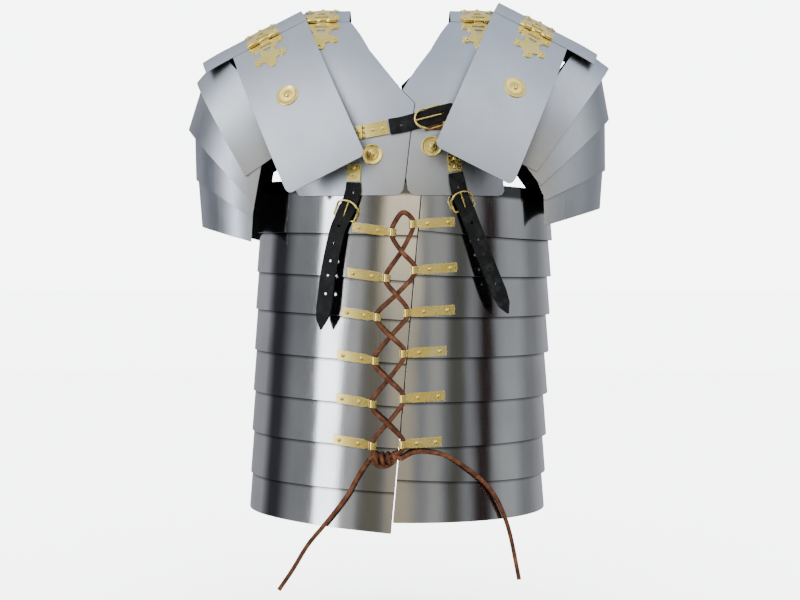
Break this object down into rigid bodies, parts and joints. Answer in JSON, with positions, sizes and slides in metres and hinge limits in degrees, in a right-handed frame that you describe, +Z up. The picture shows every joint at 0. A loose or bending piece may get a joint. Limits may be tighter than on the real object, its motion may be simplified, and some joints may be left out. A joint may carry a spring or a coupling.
{
  "type": "lorica segmentata",
  "caption": "Segmented plate body armour of laced girdle hoops, hinged shoulder guards and arm lames, with brass fittings and leather straps.",
  "frame": {"origin": "where the wearer's shoulders carry the armour: midway between the two collar plates, at the height of the neck opening", "axes": "+Z up, -Y out of the laced front, +X to the side that is at the right when seen from the front"},
  "size_m": [0.553, 0.3236, 0.7516],
  "materials": {
    "girdle_steel": "polished sheet steel with a fine vertical grain",
    "shoulder_steel": "satin sheet steel, pale grey-blue",
    "brass": "polished yellow brass",
    "strap_leather": "black strap leather, slightly worn",
    "lace_leather": "brown leather thong"
  },
  "bodies": {
    "root": {"girdle_hoop_1_left": "girdle_steel", "girdle_hoop_2_left": "girdle_steel", "girdle_hoop_3_left": "girdle_steel", "girdle_hoop_4_left": "girdle_steel", "girdle_hoop_5_left": "girdle_steel", "girdle_hoop_6_left": "girdle_steel", "girdle_hoop_7_left": "girdle_steel", "girdle_hoop_8_left": "girdle_steel", "arm_lame_1_left": "shoulder_steel", "arm_lame_2_left": "shoulder_steel", "arm_lame_3_left": "shoulder_steel", "arm_lame_4_left": "shoulder_steel", "breastplate_left": "shoulder_steel", "collar_plate_left": "shoulder_steel", "back_plate_left": "shoulder_steel", "guard_top_left": "shoulder_steel", "lace_loop_1_left": "brass", "lace_loop_2_left": "brass", "lace_loop_3_left": "brass", "lace_loop_4_left": "brass", "lace_loop_5_left": "brass", "lace_loop_6_left": "brass", "girdle_hoop_1_right": "girdle_steel", "girdle_hoop_2_right": "girdle_steel", "girdle_hoop_3_right": "girdle_steel", "girdle_hoop_4_right": "girdle_steel", "girdle_hoop_5_right": "girdle_steel", "girdle_hoop_6_right": "girdle_steel", "girdle_hoop_7_right": "girdle_steel", "girdle_hoop_8_right": "girdle_steel", "arm_lame_1_right": "shoulder_steel", "arm_lame_2_right": "shoulder_steel", "arm_lame_3_right": "shoulder_steel", "arm_lame_4_right": "shoulder_steel", "breastplate_right": "shoulder_steel", "collar_plate_right": "shoulder_steel", "back_plate_right": "shoulder_steel", "guard_top_right": "shoulder_steel", "lace_loop_1_right": "brass", "lace_loop_2_right": "brass", "lace_loop_3_right": "brass", "lace_loop_4_right": "brass", "lace_loop_5_right": "brass", "lace_loop_6_right": "brass", "lace_laced": "lace_leather", "lace_end_left": "lace_leather", "lace_end_right": "lace_leather", "strap_chest": "strap_leather", "buckle_chest": "brass", "strap_fitting_chest": "brass", "strap_left": "strap_leather", "buckle_left": "brass", "strap_fitting_left": "brass", "strap_right": "strap_leather", "buckle_right": "brass", "strap_fitting_right": "brass"},
    "guard_back_left": {"guard_back_left": "shoulder_steel"},
    "guard_back_right": {"guard_back_right": "shoulder_steel"},
    "guard_front_left": {"guard_front_left": "shoulder_steel"},
    "guard_front_right": {"guard_front_right": "shoulder_steel"}
  },
  "joints": [
    {"name": "swing_front_left", "type": "hinge", "parent": "root", "child": "guard_front_left", "pos_m": [-0.17924, -0.05258, -0.03846], "axis": [-0.8902, 0, -0.4555], "range_deg": [0, 80]},
    {"name": "swing_back_left", "type": "hinge", "parent": "root", "child": "guard_back_left", "pos_m": [-0.17924, 0.05258, -0.03846], "axis": [0.8902, 0, 0.4555], "range_deg": [0, 80]},
    {"name": "swing_front_right", "type": "hinge", "parent": "root", "child": "guard_front_right", "pos_m": [0.17924, -0.05258, -0.02746], "axis": [-0.8902, 0, 0.4555], "range_deg": [0, 80]},
    {"name": "swing_back_right", "type": "hinge", "parent": "root", "child": "guard_back_right", "pos_m": [0.17924, 0.05258, -0.02746], "axis": [0.8902, 0, -0.4555], "range_deg": [0, 80]}
  ]
}
